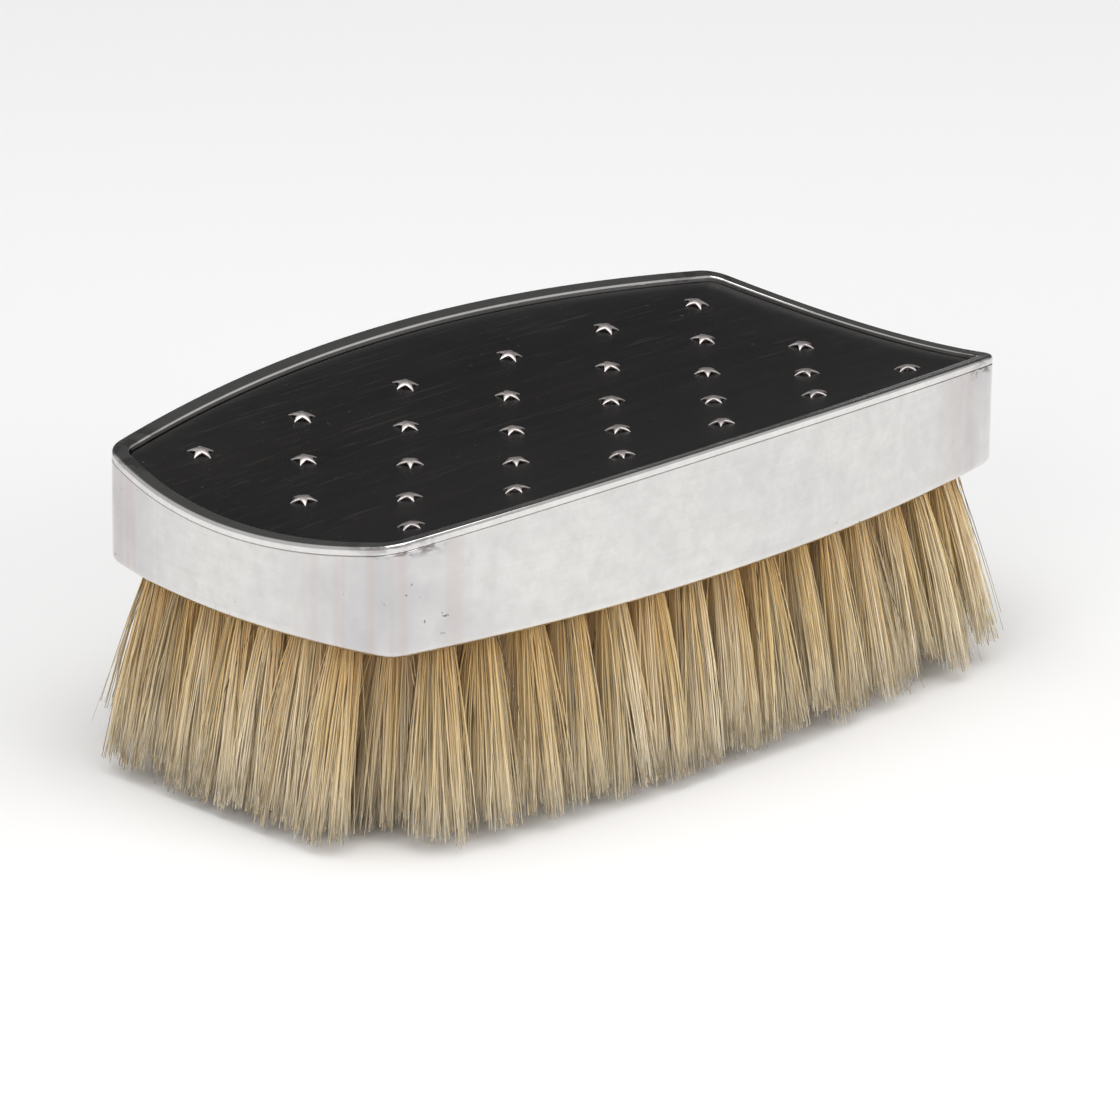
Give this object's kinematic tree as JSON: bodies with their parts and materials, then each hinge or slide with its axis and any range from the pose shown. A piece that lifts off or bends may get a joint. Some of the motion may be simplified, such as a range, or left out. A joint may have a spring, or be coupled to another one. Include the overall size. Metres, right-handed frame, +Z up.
{
  "type": "vanity hairbrush",
  "caption": "Handleless vanity hairbrush with a silver mount, a dished ebony back panel set with small silver stars, and natural bristle tufts.",
  "frame": {"origin": "centre of the brush on the plane that the bristle tips stand on", "axes": "+X along the brush, +Y across it, +Z up from the bristle tips to the back"},
  "size_m": [0.1202, 0.0654, 0.0438],
  "materials": {
    "silver": "polished",
    "star_silver": "polished",
    "ebony": "satin",
    "brush_wood": "matte",
    "bristle": "natural hair",
    "brass": "plain"
  },
  "bodies": {
    "root": {"side_band": "silver", "rim_moulding": "silver", "back_panel": "ebony", "core_block": "brush_wood", "bristle_board": "brush_wood", "board_pins": "brass", "star_row_1": "star_silver", "star_row_2": "star_silver", "star_row_3": "star_silver", "star_row_4": "star_silver", "star_row_5": "star_silver", "tuft_row_1": "bristle", "tuft_row_2": "bristle", "tuft_row_3": "bristle", "tuft_row_4": "bristle", "tuft_row_5": "bristle", "tuft_row_6": "bristle", "tuft_row_7": "bristle", "tuft_row_8": "bristle", "tuft_row_9": "bristle", "draw_wire_1": "brass", "draw_wire_2": "brass", "draw_wire_3": "brass", "draw_wire_4": "brass", "draw_wire_5": "brass", "draw_wire_6": "brass", "draw_wire_7": "brass", "draw_wire_8": "brass", "draw_wire_9": "brass"}
  },
  "joints": []
}
